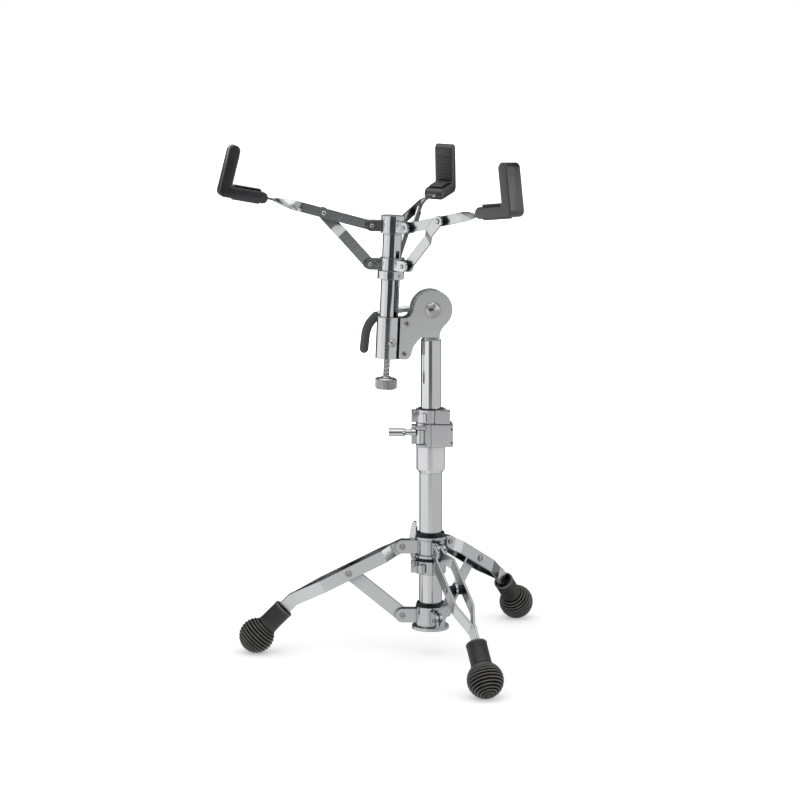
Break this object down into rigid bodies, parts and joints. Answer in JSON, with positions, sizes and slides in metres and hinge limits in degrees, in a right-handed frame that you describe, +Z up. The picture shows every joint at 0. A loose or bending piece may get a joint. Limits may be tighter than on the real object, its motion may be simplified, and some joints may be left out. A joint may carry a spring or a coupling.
{
  "type": "snare drum stand",
  "caption": "Folding snare drum stand: tripod of double flat-strip legs, telescopic column with clamp, toothed tilter and a three-arm basket with rubber pads.",
  "frame": {"origin": "point on the floor under the column axis", "axes": "+Z up along the column, X in the tilting plane with the basket offset towards -X, Y along the tilting pivot"},
  "size_m": [0.4332, 0.4313, 0.638],
  "materials": {
    "chrome_tube": "polished",
    "chrome_cast": "polished",
    "chrome_plate": "polished",
    "steel_core": "satin",
    "steel_hardware": "satin",
    "steel_knob": "knurled satin",
    "black_nylon": "matte",
    "black_rubber": "matte"
  },
  "bodies": {
    "base": {"base_tube": "chrome_tube", "lower_hub": "chrome_cast", "lower_hub_bush": "black_nylon", "strut_base_pins": "steel_hardware", "tripod_lock": "chrome_cast", "tripod_lock_screw": "steel_hardware", "clamp_body": "chrome_cast", "clamp_jaw": "chrome_cast", "clamp_pins": "steel_hardware"},
    "hub": {"upper_hub": "chrome_cast", "hub_bushes": "black_nylon", "leg_pins": "steel_hardware"},
    "wing": {"wing_screw": "chrome_cast"},
    "handle": {"clamp_handle": "chrome_cast"},
    "column": {"upper_tube": "chrome_tube", "height_lock": "chrome_cast", "height_lock_screw": "steel_hardware", "height_lock_bush": "black_nylon", "tilter_core": "steel_core"},
    "basket": {"tilter_plate_front": "chrome_plate", "tilter_plate_back": "chrome_plate", "plate_screws": "steel_hardware", "pivot_bolt": "steel_hardware", "tilter_sleeve": "chrome_cast", "sleeve_bolt": "steel_hardware", "basket_tube": "chrome_tube", "upper_yoke": "chrome_cast", "arm_pins": "steel_hardware"},
    "lever": {"lever_rod": "chrome_cast", "lever_grip": "black_rubber"},
    "yoke": {"lower_yoke": "chrome_cast", "basket_strut_pins": "steel_hardware", "yoke_cross_pin": "steel_hardware", "yoke_spacers": "black_nylon"},
    "knob": {"basket_rod": "steel_hardware", "basket_knob": "steel_knob"},
    "leg_a": {"leg_a_frame": "chrome_plate", "leg_a_bushes": "black_nylon", "leg_a_foot": "black_rubber"},
    "strut_a": {"leg_a_strut": "chrome_plate"},
    "arm_a": {"arm_a_blade": "chrome_plate", "arm_a_spacers": "black_nylon", "arm_a_pad": "black_rubber"},
    "link_a": {"arm_a_strut": "chrome_plate"},
    "leg_b": {"leg_b_frame": "chrome_plate", "leg_b_bushes": "black_nylon", "leg_b_foot": "black_rubber"},
    "strut_b": {"leg_b_strut": "chrome_plate"},
    "arm_b": {"arm_b_blade": "chrome_plate", "arm_b_spacers": "black_nylon", "arm_b_pad": "black_rubber"},
    "link_b": {"arm_b_strut": "chrome_plate"},
    "leg_c": {"leg_c_frame": "chrome_plate", "leg_c_bushes": "black_nylon", "leg_c_foot": "black_rubber"},
    "strut_c": {"leg_c_strut": "chrome_plate"},
    "arm_c": {"arm_c_blade": "chrome_plate", "arm_c_spacers": "black_nylon", "arm_c_pad": "black_rubber"},
    "link_c": {"arm_c_strut": "chrome_plate"}
  },
  "joints": [
    {"name": "hub_slide", "type": "slide", "parent": "base", "child": "hub", "axis": [0, 0, 1], "range_m": [0, 0.036]},
    {"name": "wing_turn", "type": "hinge", "parent": "hub", "child": "wing", "pos_m": [-0.01763, 0.02427, 0.1372], "axis": [-0.5878, 0.809, 0], "range_deg": [-35, 35]},
    {"name": "leg_a_fold", "type": "hinge", "parent": "hub", "child": "leg_a", "pos_m": [-0.03428, 0.00754, 0.13718], "axis": [-0.2147, -0.9767, 0], "range_deg": [-0.5, 20.39]},
    {"name": "strut_a_fold", "type": "hinge", "parent": "base", "child": "strut_a", "pos_m": [-0.03428, 0.00754, 0.0492], "axis": [-0.2147, -0.9767, 0], "range_deg": [-14.57, 0.5]},
    {"name": "leg_b_fold", "type": "hinge", "parent": "hub", "child": "leg_b", "pos_m": [0.02416, 0.02546, 0.13718], "axis": [-0.7254, 0.6884, 0], "range_deg": [-0.5, 20.39]},
    {"name": "strut_b_fold", "type": "hinge", "parent": "base", "child": "strut_b", "pos_m": [0.02416, 0.02546, 0.0492], "axis": [-0.7254, 0.6884, 0], "range_deg": [-14.57, 0.5]},
    {"name": "leg_c_fold", "type": "hinge", "parent": "hub", "child": "leg_c", "pos_m": [0.00312, -0.03496, 0.13718], "axis": [0.996, 0.0889, 0], "range_deg": [-0.5, 20.39]},
    {"name": "strut_c_fold", "type": "hinge", "parent": "base", "child": "strut_c", "pos_m": [0.00312, -0.03496, 0.0492], "axis": [0.996, 0.0889, 0], "range_deg": [-14.57, 0.5]},
    {"name": "clamp_handle_turn", "type": "hinge", "parent": "base", "child": "handle", "pos_m": [-0.04326, -0.01202, 0.284], "axis": [-0.9799, 0.1994, 0], "continuous": true},
    {"name": "column_slide", "type": "slide", "parent": "base", "child": "column", "axis": [0, 0, 1], "range_m": [0, 0.09]},
    {"name": "basket_tilt", "type": "hinge", "parent": "column", "child": "basket", "pos_m": [0, 0, 0.434], "axis": [0, 1, 0], "range_deg": [-5, 60]},
    {"name": "lever_swing", "type": "hinge", "parent": "basket", "child": "lever", "pos_m": [0, 0.018, 0.434], "axis": [0, 1, 0], "range_deg": [-34, 24]},
    {"name": "yoke_slide", "type": "slide", "parent": "basket", "child": "yoke", "axis": [0.0448, 0, 0.999], "range_m": [-0.01, 0.006]},
    {"name": "knob_turn", "type": "hinge", "parent": "yoke", "child": "knob", "pos_m": [-0.05628, 0, 0.34644], "axis": [0.0448, 0, 0.999], "range_deg": [-2900, 1748]},
    {"name": "arm_a_swing", "type": "hinge", "parent": "basket", "child": "arm_a", "pos_m": [-0.07501, 0, 0.53817], "axis": [0, -1, 0], "range_deg": [-7.52, 12.21]},
    {"name": "link_a_swing", "type": "hinge", "parent": "yoke", "child": "link_a", "pos_m": [-0.0771, 0, 0.49141], "axis": [0, -1, 0], "range_deg": [-1.82, 2.69]},
    {"name": "arm_b_swing", "type": "hinge", "parent": "basket", "child": "arm_b", "pos_m": [-0.0341, -0.02364, 0.53633], "axis": [0.8652, 0.5, -0.0388], "range_deg": [-7.52, 12.21]},
    {"name": "link_b_swing", "type": "hinge", "parent": "yoke", "child": "link_b", "pos_m": [-0.03619, -0.02364, 0.48958], "axis": [0.8652, 0.5, -0.0388], "range_deg": [-1.82, 2.69]},
    {"name": "arm_c_swing", "type": "hinge", "parent": "basket", "child": "arm_c", "pos_m": [-0.0341, 0.02364, 0.53633], "axis": [-0.8652, 0.5, 0.0388], "range_deg": [-7.52, 12.21]},
    {"name": "link_c_swing", "type": "hinge", "parent": "yoke", "child": "link_c", "pos_m": [-0.03619, 0.02364, 0.48958], "axis": [-0.8652, 0.5, 0.0388], "range_deg": [-1.82, 2.69]}
  ],
  "couplings": [
    {"joint": "leg_a_fold", "follows": "hub_slide", "rad_per_m": 9.641},
    {"joint": "strut_a_fold", "follows": "hub_slide", "rad_per_m": -6.819},
    {"joint": "leg_b_fold", "follows": "hub_slide", "rad_per_m": 9.641},
    {"joint": "strut_b_fold", "follows": "hub_slide", "rad_per_m": -6.819},
    {"joint": "leg_c_fold", "follows": "hub_slide", "rad_per_m": 9.641},
    {"joint": "strut_c_fold", "follows": "hub_slide", "rad_per_m": -6.819},
    {"joint": "knob_turn", "follows": "yoke_slide", "rad_per_m": 5026.5},
    {"joint": "arm_a_swing", "follows": "yoke_slide", "rad_per_m": -20.433},
    {"joint": "link_a_swing", "follows": "yoke_slide", "rad_per_m": -3.829},
    {"joint": "arm_b_swing", "follows": "yoke_slide", "rad_per_m": -20.433},
    {"joint": "link_b_swing", "follows": "yoke_slide", "rad_per_m": -3.829},
    {"joint": "arm_c_swing", "follows": "yoke_slide", "rad_per_m": -20.433},
    {"joint": "link_c_swing", "follows": "yoke_slide", "rad_per_m": -3.829}
  ]
}
